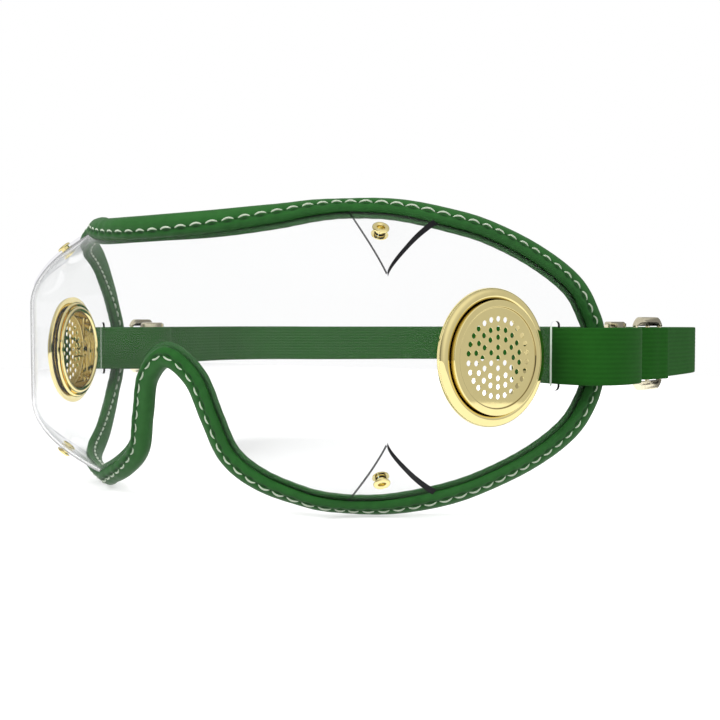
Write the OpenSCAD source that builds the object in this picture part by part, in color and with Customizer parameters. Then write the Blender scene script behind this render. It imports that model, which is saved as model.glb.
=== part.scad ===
// Horse racing goggles: a clear sheet lens, darted at its four corners, with a stitched and
// padded leather edge, two perforated brass vents and an elastic head strap with a brass
// slide at each temple. +X is the wearer's left, +Y runs back over the ears, +Z is up.
// The origin lies midway between the two strap slots. Sizes are in millimetres.

/* [Lens] */
// Thickness of the clear sheet
lens_t = 0.8; // [0.7:0.1:1.2]
// Half width of the flat front
front_half = 40; // [38:0.5:43]
// Radius of the bend between the front and each side
corner_r = 28.5; // [27.5:0.5:31]
// Turn from the front to each side, in degrees
side_angle = 66; // [63:0.5:69]
// Half length of the sheet, from its centre to the temple
lens_half = 135; // [133:0.5:138]
// Half height of the sheet
lens_high = 38; // [36:0.5:38.5]
// How far the top edge is drawn in at the upper darts
draw_top = 16.5; // [13:0.5:18]
// How far the bottom edge is drawn in at the lower darts
draw_bottom = 17.5; // [14:0.5:19]
// Forward lean of the front, in millimetres for each millimetre of height
front_lean = 0.23; // [0.15:0.01:0.28]

/* [Edge] */
// Width of the padded edge
edge_w = 5.8; // [5:0.1:6.4]
// Height of the padded edge over the middle of the sheet, on the outside
edge_front = 2.6; // [2.3:0.1:3]
// Height of the padded edge under the middle of the sheet, on the inside
edge_back = 1.9; // [1.8:0.1:2.3]
// How much further the inside of the edge laps over the sheet
edge_lap = 1; // [0.4:0.1:1.4]
// Width of the soft core inside the edge
core_w = 2; // [1.6:0.1:2.4]
// Depth of the soft core inside the edge
core_h = 2.4; // [1.8:0.1:2.6]
// Thickness of the sewing thread
thread_d = 0.5; // [0.3:0.1:0.7]

/* [Eyelets] */
// Diameter of each dart eyelet's head
eyelet_head_d = 4.3; // [3.6:0.1:5]
// Diameter of each dart eyelet's barrel
eyelet_barrel_d = 2.6; // [2.2:0.1:3]
// Height of the upper eyelets
eyelet_top_z = 30.8; // [29:0.2:32]
// Depth of the lower eyelets
eyelet_bottom_z = 29.6; // [28:0.2:31]

/* [Vents] */
// Distance from each strap slot forward to the vent, along the sheet
vent_ahead = 22.9; // [22:0.1:24]
// Diameter of each vent's flange
vent_d = 35.3; // [33:0.1:36]
// Diameter of the raised face
vent_face_d = 29.1; // [28:0.1:30.5]
// Height of the raised face over the sheet
vent_face_h = 3; // [2:0.1:3.2]
// Diameter of the air passage
vent_bore_d = 22.6; // [21:0.1:23.6]
// Diameter of each air hole
hole_d = 1.45; // [1:0.05:1.7]

/* [Strap] */
// Width of the elastic strap
strap_w = 15; // [12:0.5:16]
// Thickness of the elastic strap
strap_t = 0.9; // [0.7:0.05:1.1]
// Distance from each strap slot back to the end of the sheet
slot_in = 15.2; // [14:0.1:15.6]
// Width of each strap slot
slot_w = 3; // [2.4:0.1:3.4]
// Height of each strap slot beyond the strap's edges
slot_spare = 1.75; // [1:0.05:2.2]
// Distance from the slots back to the rear of the strap
head_back = 159.5; // [145:0.5:180]

/* [Slide] */
// Length of each brass slide along the strap
slide_l = 16; // [15:0.1:17]
// Height of each brass slide
slide_h = 21; // [20:0.1:24]
// Thickness of the slide's plate
slide_t = 1.3; // [1.2:0.1:1.6]
// Radius of the slide's three bars
bar_r = 0.6; // [0.5:0.05:0.7]
// Distance between neighbouring bars
bar_pitch = 7.2; // [6.8:0.1:7.4]
// Turn of the slide away from straight back, in degrees
slide_turn = 12; // [8:0.5:14]
// Length of the brass tip on the strap's end
tip_l = 11.4; // [10:0.1:14]
// Height of the brass tip
tip_h = 18.4; // [17:0.1:19]

/* [Hidden] */

leather = [0.16, 0.41, 0.18];
elastic = [0.13, 0.34, 0.12];
brass = [0.86, 0.76, 0.45];
round_fn = 64;
eps = 0.01;
// running clearance between the strap and the brass, and between the sheet and the leather
strap_gap = 0.2;
groove_gap = 0.15;
core_gap = 0.1;

// The outline of half the sheet, from the top of the nose notch along the bottom edge,
// round the temple and back along the brow. Each point is a distance along the sheet and a
// height, in hundredths of the sheet's half length and half height.
outline = [[0, 0], [6, -14.5], [9, -42], [12, -68], [18.5, -84], [28, -93], [39.5, -98],
    [50.5, -99.8], [59, -98.3], [70, -90], [82.5, -74.5], [92, -55], [97, -35.5],
    [99.3, -19], [99.8, -1], [99.7, 15], [98.2, 28.5], [93.5, 50.5], [84.7, 70.3],
    [75, 84.5], [66.7, 91.8], [57, 98.3], [45.3, 99], [34.5, 97.4], [24.3, 92.7], [13, 88.7],
    [0, 87.3]];
brow_index = len(outline) - 1;
temple_index = 14;
steps = 3;
// The strap slots and the vents are placed from the sheet's end at the temple.
slot_s = lens_half*outline[temple_index].x/100 - slot_in;
vent_s = slot_s - vent_ahead;

// Smooth step from 0 at lo to 1 at hi.
function ease(lo, hi, x) = let(t = min(1, max(0, (x - lo)/(hi - lo)))) t*t*(3 - 2*t);
function unit(v) = v/norm(v);

// The point at t in [0, 1] on a smooth curve between b and c, with neighbours a and d.
function curve(a, b, c, d, t) = 0.5*(2*b + (c - a)*t + (2*a - 5*b + 4*c - d)*t*t
    + (3*b - a - 3*c + d)*t*t*t);

// A smooth curve through every point but the first and last, which only set its ends.
function route(p, n) = [for (i = [1:len(p) - 3]) for (j = [0:n - 1])
    curve(p[i - 1], p[i], p[i + 1], p[i + 2], j/n), p[len(p) - 2]];

// The sheet bends along a level line: straight across the front, round the corner, then
// straight along the side. Distance along that line is s, and corner_mid is its bend's middle.
corner_mid = front_half + corner_r*side_angle*PI/360;
function turn(s) = min(side_angle, max(0, (s - front_half)/corner_r*180/PI));
function along_side(s) = max(0, s - 2*corner_mid + front_half);
front_y = -corner_r*(1 - cos(side_angle)) - along_side(slot_s)*sin(side_angle);

// How far the sheet is drawn in towards the face: the front leans, and above and below
// flat_high the darts pull the edges in, most of all at the corner. The pull turns from
// straight back to the side's inward direction more slowly than the sheet itself.
flat_high = 14;
full_high = 35;
lean_base = 2.5;
side_share = 0.45;
function lean(s, z) = (1 - ease(5, corner_mid - 2, s))*(lean_base - front_lean*z);
function pull(s) = ease(1, corner_mid + 2, s)
    *(1 - (1 - side_share)*ease(corner_mid + 2, corner_mid + 41, s));
function drawn(s, z) = (z > 0 ? draw_top : draw_bottom)*pull(s)
    *pow(max(0, abs(z) - flat_high)/(full_high - flat_high), 2);
function pull_turn(s) = side_angle*ease(corner_mid - 45, corner_mid + 35, s);

// The point of the sheet's middle surface at s along and z up, on either side.
function sheet(s, z) = let(r = abs(s), a = turn(r), b = pull_turn(r), q = drawn(r, z),
    x = min(r, front_half) + corner_r*sin(a) + along_side(r)*cos(side_angle) - q*sin(b),
    y = front_y + corner_r*(1 - cos(a)) + along_side(r)*sin(side_angle) + lean(r, z)*cos(a)
        + q*cos(b))
    [s < 0 ? -x : x, y, z];
// The outward direction there.
function facing(s, z) = unit(cross(sheet(s + 0.2, z) - sheet(s - 0.2, z),
    sheet(s, z + 0.2) - sheet(s, z - 0.2)));

// Any point of the closed outline, counted in outline points from the notch.
function outline_at(k) = let(m = 2*brow_index, i = (k + m) % m, o = i > brow_index ? m - i : i)
    [(i > brow_index ? -1 : 1)*outline[o].x*lens_half/100, outline[o].y*lens_high/100];
function edge_at(u) = let(k = floor(u))
    curve(outline_at(k - 1), outline_at(k), outline_at(k + 1), outline_at(k + 2), u - k);

// Rings carried round the outline. Each is a place, a direction out of the sheet's edge and
// a direction out of its face.
ring_count = 2*brow_index*steps;
ring_places = [for (i = [0:ring_count - 1]) edge_at(i/steps)];
rings = [for (i = [0:ring_count - 1]) let(
    p = ring_places[i],
    a = ring_places[(i + ring_count - 1) % ring_count],
    b = ring_places[(i + 1) % ring_count],
    n = facing(p.x, p.y),
    along = unit(sheet(b.x, b.y) - sheet(a.x, a.y)))
    [sheet(p.x, p.y), unit(cross(along, n)), n]];

// A closed tube whose outline is a list of [outward, facewise] points.
module edge_sweep(section) {
    m = len(section);
    n = ring_count;
    polyhedron(
        points = [for (r = rings) for (q = section) r[0] + q.x*r[1] + q.y*r[2]],
        faces = [for (i = [0:n - 1]) for (k = [0:m - 1]) let(
            a = i*m + k, b = i*m + (k + 1) % m,
            c = ((i + 1) % n)*m + (k + 1) % m, d = ((i + 1) % n)*m + k)
            each [[a, c, b], [a, d, c]]]);
}

// A flattened round, as a list of points.
function squared(c) = sign(c)*pow(abs(c), 0.75);
function oval(cx, rx, ry, from, to, n) = [for (k = [0:n])
    let(a = from + (to - from)*k/n) [cx + rx*squared(cos(a)), ry*squared(sin(a))]];

groove = lens_t/2 + groove_gap;
core_x = core_w/2 + 0.1;
core_left = core_x - core_w/2 - core_gap;

module edge_binding() {
    front_lip = asin(pow(groove/edge_front, 1/0.75));
    back_lip = asin(pow(groove/edge_back, 1/0.75));
    outer = concat(
        oval(0, edge_w/2, edge_front, 180 - front_lip, 0, 6),
        oval(-edge_lap/2, edge_w/2 + edge_lap/2, edge_back, -26, -180 + back_lip, 5));
    cavity = oval(core_x, core_w/2 + core_gap, core_h/2 + core_gap, -135, 135, 6);
    color(leather)
        edge_sweep(concat(outer, [[core_left, -groove]], cavity, [[core_left, groove]]));
}

module edge_core() {
    color("gainsboro") edge_sweep(oval(core_x, core_w/2, core_h/2, 180, -135, 7));
}

// One row of thread along the crest of the edge, outside and inside.
module edge_stitching() {
    r = thread_d/2;
    seat = 0.05;
    color("honeydew") {
        for (y = [edge_front + seat + r, -edge_back - seat - r])
            edge_sweep([[-r, y], [0, y + r], [r, y], [0, y - r]]);
    }
}

// The sheet: rows from the bottom edge to the top one, with both faces and the rim closed.
half_columns = 39;
rows = 16;
rim_in = 0.3;
function low_edge(f) = edge_at(f*(temple_index - 1));
function high_edge(f) = edge_at(brow_index - f*(brow_index - temple_index - 1));
function row_share(j) = 0.5 - 0.5*cos(180*j/rows);
function lens_place(i, j) = let(f = abs(i)/half_columns,
    p = low_edge(f)*(1 - row_share(j)) + high_edge(f)*row_share(j))
    [(i < 0 ? -1 : 1)*(p.x - rim_in*f), p.y];

module lens_sheet() {
    n = 2*half_columns + 1;
    m = rows + 1;
    function at(layer, i, j) = layer*n*m + i*m + j;
    function pair(a, b, c, d) = [[a, b, c], [a, c, d]];
    points = [for (side = [1, -1]) for (i = [-half_columns:half_columns]) for (j = [0:rows])
        let(p = lens_place(i, j)) sheet(p.x, p.y) + side*lens_t/2*facing(p.x, p.y)];
    faces = [
        for (i = [0:n - 2]) for (j = [0:m - 2]) each concat(
            pair(at(0, i, j), at(0, i, j + 1), at(0, i + 1, j + 1), at(0, i + 1, j)),
            pair(at(1, i, j), at(1, i + 1, j), at(1, i + 1, j + 1), at(1, i, j + 1))),
        for (i = [0:n - 2]) each concat(
            pair(at(0, i, 0), at(0, i + 1, 0), at(1, i + 1, 0), at(1, i, 0)),
            pair(at(0, i, m - 1), at(1, i, m - 1), at(1, i + 1, m - 1), at(0, i + 1, m - 1))),
        for (j = [0:m - 2]) each concat(
            pair(at(0, 0, j), at(1, 0, j), at(1, 0, j + 1), at(0, 0, j + 1)),
            pair(at(0, n - 1, j), at(0, n - 1, j + 1), at(1, n - 1, j + 1), at(1, n - 1, j)))];
    polyhedron(points = points, faces = faces);
}

// Puts a piece on the sheet, with its Z axis out of the face.
module on_sheet(s, z) {
    n = facing(s, z);
    translate(sheet(s, z)) rotate([0, 90 - asin(n.z), atan2(n.y, n.x)]) children();
}

module both_sides() {
    children();
    mirror([1, 0, 0]) children();
}

module side(name) {
    if (name == "left") children();
    if (name == "right") mirror([1, 0, 0]) children();
}

eyelet_s = corner_mid + 10.6;
eyelet_fit = 0.15;
eyelet_seat = 0.28;
vent_wall = 0.8;
vent_fit = 0.2;
slot_corner = 1.2;

// Each dart: the sheet is cut and lapped over itself in a V that widens from its tip, at
// dart_tip_s along and dart_tip_z up, to the edge. The lap is one more sheet thick.
dart_tip_s = corner_mid + 8.8;
dart_tip_z = 20;
dart_front_w = 6;
dart_rear_w = 19.8;
dart_front_z = lens_high*0.94;
dart_rear_z = lens_high*0.9;
dart_rows = 7;
dart_columns = 5;
module dart_lap(up) {
    n = dart_columns + 1;
    m = dart_rows + 1;
    function at(layer, i, j) = layer*n*m + i*m + j;
    function pair(a, b, c, d) = [[a, b, c], [a, c, d]];
    function place(i, j) = let(u = i/dart_columns, t = 0.08 + 0.92*j/dart_rows)
        [dart_tip_s - dart_front_w*t*(1 - u) + dart_rear_w*pow(t, 1.4)*u,
            up*(dart_tip_z + t*(dart_front_z*(1 - u) + dart_rear_z*u - dart_tip_z))];
    points = [for (h = [lens_t*1.5, 0]) for (i = [0:dart_columns]) for (j = [0:dart_rows])
        let(p = place(i, j)) sheet(p.x, p.y) + h*facing(p.x, p.y)];
    faces = [
        for (i = [0:n - 2]) for (j = [0:m - 2]) each concat(
            pair(at(0, i, j), at(0, i, j + 1), at(0, i + 1, j + 1), at(0, i + 1, j)),
            pair(at(1, i, j), at(1, i + 1, j), at(1, i + 1, j + 1), at(1, i, j + 1))),
        for (i = [0:n - 2]) each concat(
            pair(at(0, i, 0), at(0, i + 1, 0), at(1, i + 1, 0), at(1, i, 0)),
            pair(at(0, i, m - 1), at(1, i, m - 1), at(1, i + 1, m - 1), at(0, i + 1, m - 1))),
        for (j = [0:m - 2]) each concat(
            pair(at(0, 0, j), at(1, 0, j), at(1, 0, j + 1), at(0, 0, j + 1)),
            pair(at(0, n - 1, j), at(0, n - 1, j + 1), at(1, n - 1, j + 1), at(1, n - 1, j)))];
    polyhedron(points = points, faces = up > 0 ? faces : [for (f = faces) [f[0], f[2], f[1]]]);
}

module lens() {
    color([0.9, 0.93, 0.95, 0.4]) difference() {
        union() {
            lens_sheet();
            both_sides() {
                dart_lap(1);
                dart_lap(-1);
            }
        }
        both_sides() {
            on_sheet(vent_s, 0)
                cylinder(h = 8, d = vent_bore_d + 2*vent_wall + 2*vent_fit, center = true, $fn = round_fn);
            on_sheet(slot_s, 0) slot_cut();
            for (z = [eyelet_top_z, -eyelet_bottom_z]) on_sheet(eyelet_s, z)
                cylinder(h = 8, d = eyelet_barrel_d + 2*eyelet_fit, center = true, $fn = round_fn);
        }
    }
}

// A slot with round corners. Its long way is up, which is X once it lies on the sheet.
module slot_cut() {
    x = strap_w/2 + slot_spare - slot_corner;
    y = slot_w/2 - slot_corner;
    cube([2*x + 2*slot_corner, 2*y, 8], center = true);
    cube([2*x, 2*y + 2*slot_corner, 8], center = true);
    for (i = [-1, 1], j = [-1, 1]) translate([i*x, j*y, 0])
        cylinder(h = 8, r = slot_corner, center = true, $fn = round_fn);
}

// One brass eyelet: a barrel through the sheet and its lap, rolled over on both faces.
module eyelet() {
    r = eyelet_barrel_d/2;
    head = eyelet_head_d/2;
    wall = 0.4;
    low = -lens_t/2 - eyelet_seat;
    high = lens_t*1.5 + eyelet_seat;
    roll = 0.45;
    rotate_extrude($fn = round_fn) polygon([[r - wall, low - roll], [r, low - roll],
        [head - 0.2, low - roll + 0.1], [head, low - 0.1], [head, low], [r, low], [r, high],
        [head, high], [head, high + 0.1], [head - 0.2, high + roll - 0.1], [r, high + roll],
        [r - wall, high + roll]]);
}

module dart_eyelets() {
    color(brass) both_sides()
        for (z = [eyelet_top_z, -eyelet_bottom_z]) on_sheet(eyelet_s, z) eyelet();
}

// Air holes in rings: each entry is a ring's share of the outer radius and its holes.
hole_rings = [[0, 1], [0.27, 6], [0.53, 12], [0.75, 18], [1, 26]];
hole_rim = 1.55;
vent_plate = 0.5;
vent_dish = 0.35;
flange_t = 0.9;

// The outer cap: the perforated face, sunk a little in its rim, the round flange and the
// barrel that goes through the sheet and is rolled over the ring inside. Z is 0 on the
// sheet's outer face.
module vent_cap() {
    bore = vent_bore_d/2;
    barrel = bore + vent_wall;
    face = vent_face_d/2;
    flange = vent_d/2;
    roll = 1.1;
    inside = ring_face(barrel + roll) - ring_t;
    holes_r = bore - hole_rim;
    lip = barrel + 0.6;
    difference() {
        rotate_extrude($fn = 2*round_fn) polygon([
            [0, vent_face_h - vent_plate - vent_dish],
            [bore, vent_face_h - vent_plate - vent_dish],
            [bore, inside - 0.2], [bore + 0.25, inside - 0.55], [barrel + 0.3, inside - 0.65],
            [barrel + roll, inside - 0.4], [barrel + roll, inside - 0.05],
            [barrel, inside - 0.05], [barrel, vent_face_h - 2*vent_plate],
            [face - vent_plate, vent_face_h - 2*vent_plate], [face - vent_plate, 0],
            [flange - 0.4, 0], [flange, 0.4], [flange - 0.25, flange_t - 0.1],
            [flange - 1.1, flange_t + 0.15], [face + 0.6, flange_t], [face, flange_t - 0.2],
            [face, vent_face_h - 0.2], [face - 0.2, vent_face_h], [lip + 0.1, vent_face_h],
            [lip, vent_face_h - vent_dish], [0, vent_face_h - vent_dish]]);
        for (ring = hole_rings, k = [0:ring[1] - 1])
            rotate(360*k/ring[1]) translate([ring[0]*holes_r, 0, vent_face_h - 2*vent_plate])
                cylinder(h = 3*vent_plate, d = hole_d, $fn = 24);
    }
}

// The ring inside, held by the cap's rolled barrel. It is dished to lie just clear of the
// sheet's inner face, which falls away from the vent's middle below it and in front of it.
ring_t = 0.6;
ring_seat = 0.25;
function fall(ahead, z) = (sheet(vent_s, 0) - sheet(vent_s - ahead, z))*facing(vent_s, 0);
function ring_face(r) = -lens_t - ring_seat - max(0, fall(r, 0), fall(0, -r));
module vent_ring() {
    hole = vent_bore_d/2 + vent_wall + 0.1;
    rim = vent_d/2 - 1.65;
    rotate_extrude($fn = 2*round_fn) polygon([[hole, ring_face(hole)],
        [rim - 1.8, ring_face(rim - 1.8)], [rim, ring_face(rim) - 0.15],
        [rim - 0.3, ring_face(rim) - ring_t], [rim - 1.4, ring_face(rim - 1.4) - ring_t - 0.3],
        [rim - 2.4, ring_face(rim - 2.4) - ring_t], [hole, ring_face(hole) - ring_t]]);
}

module vent_place(name) {
    side(name) on_sheet(vent_s, 0) translate([0, 0, lens_t/2]) children();
}
module vent_cap_left() { color(brass) vent_place("left") vent_cap(); }
module vent_cap_right() { color(brass) vent_place("right") vent_cap(); }
module vent_ring_left() { color(brass) vent_place("left") vent_ring(); }
module vent_ring_right() { color(brass) vent_place("right") vent_ring(); }

// The strap is seen from above here: every route is a list of [x, y] points of its middle.
slot_at = [sheet(slot_s, 0).x, sheet(slot_s, 0).y];
slot_out = [sin(side_angle), -cos(side_angle)];
slot_back = [cos(side_angle), sin(side_angle)];
// From the slot back to the rim of the leather at the temple, and from there to the slide.
edge_past = slot_in + edge_w/2;
slide_past = 20;
slide_at = slot_at + (edge_past + slide_past)*slot_back - 0.5*slot_out;

// A point beside the sheet's end: a share of the way from the slot to the leather's rim, or
// f back past that rim, and w out of the sheet.
function to_edge(share, w) = slot_at + share*edge_past*slot_back + w*slot_out;
function past_edge(f, w) = slot_at + (edge_past + f)*slot_back + w*slot_out;

// A point beside the slide, f back along its plate and w out of it.
function by_slide(f, w) = slide_at + f*[sin(slide_turn), cos(slide_turn)]
    + w*[cos(slide_turn), -sin(slide_turn)];
// How far the strap's middle stays from a bare bar's middle, how tightly its end is wrapped
// round the rear bar, and how far the outer layer rides over that wrap.
pass = bar_r + strap_gap + strap_t/2;
wrap = bar_r + 0.15 + strap_t/2;
over = wrap + strap_t + strap_gap;

pass_start = 3;
joint_gap = 0.05;
run_end = slide_at + [1.9, 49];

// From the inside of the slot, out and round the edge, then under the slide's front bar and
// over its middle bar.
outer_route = route([slot_at - 2*pass_start*slot_out, slot_at - pass_start*slot_out,
    slot_at + pass_start*slot_out, to_edge(0.07, 9.3), to_edge(0.265, 12.75),
    to_edge(0.57, 13.9), to_edge(0.9, 12.9), past_edge(3.5, 10.5), past_edge(8.2, 6),
    by_slide(-bar_pitch, -pass), by_slide(0, pass), by_slide(bar_pitch, over)], 6);

// From the middle bar over the rear one and back along the head.
run_route = route([by_slide(-bar_pitch, -pass), by_slide(0, pass), by_slide(bar_pitch, over),
    slide_at + [2.8, 11.5], slide_at + [1.6, 16], slide_at + [1.2, 21], slide_at + [1.5, 31],
    slide_at + [2, 41], run_end, run_end - [0.9, -7]], 6);

// Round the back of the head, in hundredths of the strap's half width there and of the way
// from the end of the run to the rear.
band_half = run_end.x;
band_from = run_end.y;
function band_point(p) = [band_half*p.x/100, band_from + (head_back - band_from)*p.y/100];
band_shape = [[100, -10], [100, 0], [97.8, 10.5], [92.2, 23], [82.4, 34.3], [69.6, 46.2],
    [54, 62.7], [36.3, 82], [17.6, 95.4], [0, 100], [-17.6, 95.4]];
band_route = route([for (p = band_shape) band_point(p)], 5);

// From the slot in a loose loop inside the edge, behind the slide's front and middle bars and
// out between its middle and rear bars.
inner_route = route([slot_at, slot_at - (pass_start + joint_gap)*slot_out,
    to_edge(0.05, -8.9), to_edge(0.1, -14.8), to_edge(0.21, -19.9), to_edge(0.4, -22.2),
    to_edge(0.63, -21), to_edge(0.8, -16.3), to_edge(0.92, -10.2), past_edge(2.3, -5.3),
    past_edge(8, -3.3), slide_at - [4.4, 4.8], by_slide(0, -pass),
    by_slide(4.2, 0.2), by_slide(bar_pitch, wrap)], 6);

// The strap's end: over the rear bar and forward again inside, to the brass tip.
// It lies straight from its end, at tip_at, to just past the tip.
tip_at = slide_at - [9.1, 8.2];
tip_dir = unit([0.6, 6.6]);
tail_route = route(concat([by_slide(0, -pass), by_slide(4.2, 0.2) + [0, joint_gap]],
    [for (a = [110, 50]) by_slide(bar_pitch + wrap*cos(a), wrap*sin(a))],
    [slide_at + [0.4, 9.4], slide_at + [-3, 10.1], slide_at + [-5.8, 8.9]],
    [for (f = [2.8, 0, -tip_l/2 + 0.2, -tip_l + 0.4, -tip_l - 6])
        tip_at + (tip_l - 0.4 + f)*tip_dir]), 4);

// A route made as thick as t, as a closed outline.
function square_to(p, i) = let(a = p[max(0, i - 1)], b = p[min(len(p) - 1, i + 1)], d = unit(b - a))
    [d.y, -d.x];
function thick(p, t) = concat([for (i = [0:len(p) - 1]) p[i] + t/2*square_to(p, i)],
    [for (i = [len(p) - 1:-1:0]) p[i] - t/2*square_to(p, i)]);
module ribbon(p, t, h) {
    linear_extrude(height = h, center = true) polygon(thick(p, t));
}

module strap_band() {
    mirrored = [for (i = [len(band_route) - 2:-1:0]) [-band_route[i].x, band_route[i].y]];
    color(elastic) ribbon(concat(band_route, mirrored), strap_t, strap_w);
}
module strap_piece(name, p) { color(elastic) side(name) ribbon(p, strap_t, strap_w); }
module strap_outer_left() { strap_piece("left", outer_route); }
module strap_outer_right() { strap_piece("right", outer_route); }
module strap_run_left() { strap_piece("left", run_route); }
module strap_run_right() { strap_piece("right", run_route); }
module strap_inner_left() { strap_piece("left", inner_route); }
module strap_inner_right() { strap_piece("right", inner_route); }
module strap_tail_left() { strap_piece("left", tail_route); }
module strap_tail_right() { strap_piece("right", tail_route); }

// The brass tip: a folded sleeve over the last of the strap's end.
tip_wall = 0.5;
tip_gap = 0.05;
module tip_shape(t, h, ahead) {
    linear_extrude(height = h, center = true)
        polygon(thick([tip_at - ahead*tip_dir, tip_at + (tip_l - ahead)*tip_dir], t));
}
module strap_tip(name) {
    color(brass) side(name) difference() {
        tip_shape(strap_t + 2*tip_gap + 2*tip_wall, tip_h, tip_gap + tip_wall);
        tip_shape(strap_t + 2*tip_gap, strap_w + 2*tip_gap, tip_gap - 2*eps);
    }
}
module strap_tip_left() { strap_tip("left"); }
module strap_tip_right() { strap_tip("right"); }

// The slide: two arched rails, above and below the strap, and three round bars.
rail_gap = 1.1;
rail_foot = 0.2;
foot_l = 1.5;
rail_cut = 1.9;
module rail() {
    foot = strap_w/2 + rail_foot;
    low = strap_w/2 + rail_gap;
    high = slide_h/2;
    l = slide_l/2;
    rotate([90, 0, 90]) linear_extrude(height = slide_t, center = true)
        polygon([[-l, foot], [-l + foot_l, foot], [-l + 2*foot_l, low], [l - 2*foot_l, low],
            [l - foot_l, foot], [l, foot], [l, foot + 0.5], [l - rail_cut/3, foot + 1.3],
            [l - rail_cut, high - 0.4], [l - rail_cut - 1.4, high],
            [-l + rail_cut + 1.4, high], [-l + rail_cut, high - 0.4],
            [-l + rail_cut/3, foot + 1.3], [-l, foot + 0.5]]);
}
module slide(name) {
    color(brass) side(name) translate([slide_at.x, slide_at.y, 0]) rotate(-slide_turn) {
        rail();
        mirror([0, 0, 1]) rail();
        cylinder(h = strap_w + 2*rail_gap + 1, r = bar_r, center = true, $fn = round_fn);
        for (f = [-bar_pitch, bar_pitch]) translate([0, f, 0])
            cylinder(h = strap_w + 2*rail_foot + 1, r = bar_r, center = true, $fn = round_fn);
    }
}
module slide_left() { slide("left"); }
module slide_right() { slide("right"); }

lens();
edge_binding();
edge_core();
edge_stitching();
dart_eyelets();
vent_cap_left();
vent_cap_right();
vent_ring_left();
vent_ring_right();
strap_band();
strap_outer_left();
strap_outer_right();
strap_run_left();
strap_run_right();
strap_inner_left();
strap_inner_right();
strap_tail_left();
strap_tail_right();
strap_tip_left();
strap_tip_right();
slide_left();
slide_right();
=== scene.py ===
import math
import bmesh
import bpy
import numpy as np
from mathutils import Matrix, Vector


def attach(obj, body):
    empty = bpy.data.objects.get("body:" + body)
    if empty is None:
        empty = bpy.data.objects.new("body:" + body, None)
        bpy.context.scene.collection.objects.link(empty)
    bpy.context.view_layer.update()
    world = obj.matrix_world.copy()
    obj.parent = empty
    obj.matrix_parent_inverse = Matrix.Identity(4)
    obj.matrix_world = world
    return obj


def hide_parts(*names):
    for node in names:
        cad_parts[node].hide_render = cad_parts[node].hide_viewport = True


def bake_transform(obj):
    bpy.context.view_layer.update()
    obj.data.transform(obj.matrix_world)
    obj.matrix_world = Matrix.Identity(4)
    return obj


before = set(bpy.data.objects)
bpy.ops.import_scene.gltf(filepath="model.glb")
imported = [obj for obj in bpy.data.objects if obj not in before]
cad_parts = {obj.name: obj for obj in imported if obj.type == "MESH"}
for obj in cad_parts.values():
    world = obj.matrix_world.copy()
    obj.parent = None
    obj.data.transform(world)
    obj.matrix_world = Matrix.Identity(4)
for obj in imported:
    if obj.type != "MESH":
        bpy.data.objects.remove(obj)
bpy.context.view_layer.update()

# Horse racing goggles. Shapes are worked out in millimetres and go into the scene in metres.
mm = 0.001
sides = ((1, "left"), (-1, "right"))  # the wearer's


# Small helpers

def unitRows(v):
    # each row divided by its own length
    return v / np.maximum(np.linalg.norm(v, axis=-1, keepdims=True), 1e-12)


def ease(lo, hi, x):
    # smooth step from 0 at lo to 1 at hi
    t = np.clip((np.asarray(x, float) - lo) / (hi - lo), 0, 1)
    return t * t * (3 - 2 * t)


def bell(x, width):
    # bell curve: 1 at x = 0, falling to nothing over about two widths
    return np.exp(-(np.asarray(x, float) / width) ** 2)


def runLength(points):
    # the length along a row of points up to each of them
    return np.concatenate([[0], np.cumsum(np.linalg.norm(np.diff(points, axis=0), axis=1))])


def smoothRow(a, b, c, d, t):
    # the cubic between b and c, with slopes from their neighbours
    return 0.5 * (2 * b + (c - a) * t + (2 * a - 5 * b + 4 * c - d) * t * t
                  + (3 * b - a - 3 * c + d) * t ** 3)


def openCurve(points, perSpan):
    # that cubic through all points but the first and last
    points = np.asarray(points, float)
    a, b, c, d = (points[k:len(points) - 3 + k][:, None] for k in range(4))
    t = np.linspace(0, 1, perSpan, endpoint=False)[None, :, None]
    rows = smoothRow(a, b, c, d, t).reshape(-1, points.shape[1])
    return np.vstack([rows, points[-2]])


def closedCurve(points, perSpan):
    # that curve round a closed row of points, back to its start
    return openCurve([points[-1], *points, points[0], points[1]], perSpan)


def arc(centre, r, start, end, count=8):
    # points on an arc, angles in degrees
    t = np.radians(np.linspace(start, end, count))
    return np.stack([centre[0] + r * np.cos(t), centre[1] + r * np.sin(t)], -1)


def circleXY(r, count):
    # an arc all the way round
    return arc((0, 0), r, 0, 360, count + 1)[:-1]


def roundedXY(halfX, halfY, r):
    # a rectangle with a quarter circle at each corner
    corners = ((1, 1), (-1, 1), (-1, -1), (1, -1))
    return np.vstack([arc((x * (halfX - r), y * (halfY - r)), r, 90 * k, 90 * k + 90)
                      for k, (x, y) in enumerate(corners)])


def mirrored(points, side):
    # the same points on the wearer's left (side 1) or right (side -1)
    return np.asarray(points, float) * (side, 1, 1)


# Faces and meshes

def gridFaces(rows, columns, wrapRows=False, wrapColumns=False):
    # the quads of a grid whose points are numbered row by row
    r = np.arange(rows if wrapRows else rows - 1)[:, None]
    c = np.arange(columns if wrapColumns else columns - 1)[None, :]
    r2, c2 = (r + 1) % rows, (c + 1) % columns
    quads = [r * columns + c, r2 * columns + c, r2 * columns + c2, r * columns + c2]
    return np.stack([np.broadcast_to(q, (len(r), c.shape[1])) for q in quads], -1).reshape(-1, 4)


def tubeFaces(rows, columns):
    # the quads round a row of closed rings, and a lid on either end
    lid = np.arange(columns)[None]
    return [gridFaces(rows, columns, False, True), lid[:, ::-1], lid + (rows - 1) * columns]


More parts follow.
